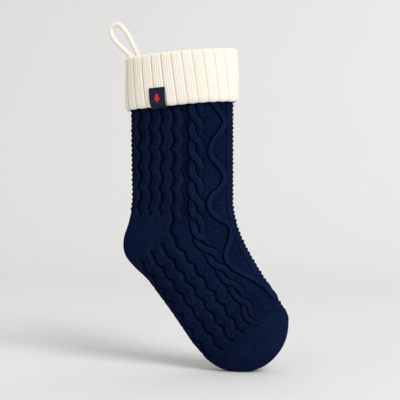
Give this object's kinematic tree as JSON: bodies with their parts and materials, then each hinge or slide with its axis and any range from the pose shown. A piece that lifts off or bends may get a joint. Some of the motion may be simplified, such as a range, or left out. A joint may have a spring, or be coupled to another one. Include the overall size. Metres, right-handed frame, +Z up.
{
  "type": "hanging stocking",
  "caption": "Cable-knit hanging stocking with a turned-down ribbed cuff, an open lined leg and foot, a swinging hanging loop and a folded woven label.",
  "frame": {"origin": "centre of the peg that sits in the top of the hanging loop", "axes": "+Z up along the leg, +X towards the toe, -Y out of the front panel, the side with the label"},
  "size_m": [0.2615, 0.0735, 0.4995],
  "materials": {
    "navy_knit": "soft matt cable knit",
    "navy_yarn": "matt yarn",
    "ivory_rib": "soft matt rib knit",
    "ivory_cord": "matt knitted cord",
    "ivory_thread": "matt thread",
    "lining_cloth": "plain woven cloth",
    "lining_thread": "matt thread",
    "label_ribbon": "satin-edged woven ribbon",
    "label_thread": "matt thread",
    "red_thread": "embroidered thread"
  },
  "bodies": {
    "stocking": {"front_panel": "navy_knit", "back_panel": "navy_knit", "calf_seam": "navy_yarn", "sole_seam": "navy_yarn", "shin_seam": "navy_yarn", "ribbed_cuff": "ivory_rib", "cuff_join_seam": "navy_yarn", "lining_front": "lining_cloth", "lining_back": "lining_cloth", "lining_seam": "lining_thread", "lining_top_stitch": "lining_thread", "loop_tails": "ivory_cord", "loop_tack": "ivory_thread", "woven_label": "label_ribbon", "label_emblem": "red_thread", "label_stitch": "label_thread"},
    "hanging_loop": {"hanging_loop": "ivory_cord"}
  },
  "joints": [
    {"name": "loop_swing", "type": "hinge", "parent": "stocking", "child": "hanging_loop", "pos_m": [0.0333, 0, -0.0372], "axis": [0, 1, 0], "range_deg": [0, 100]}
  ]
}
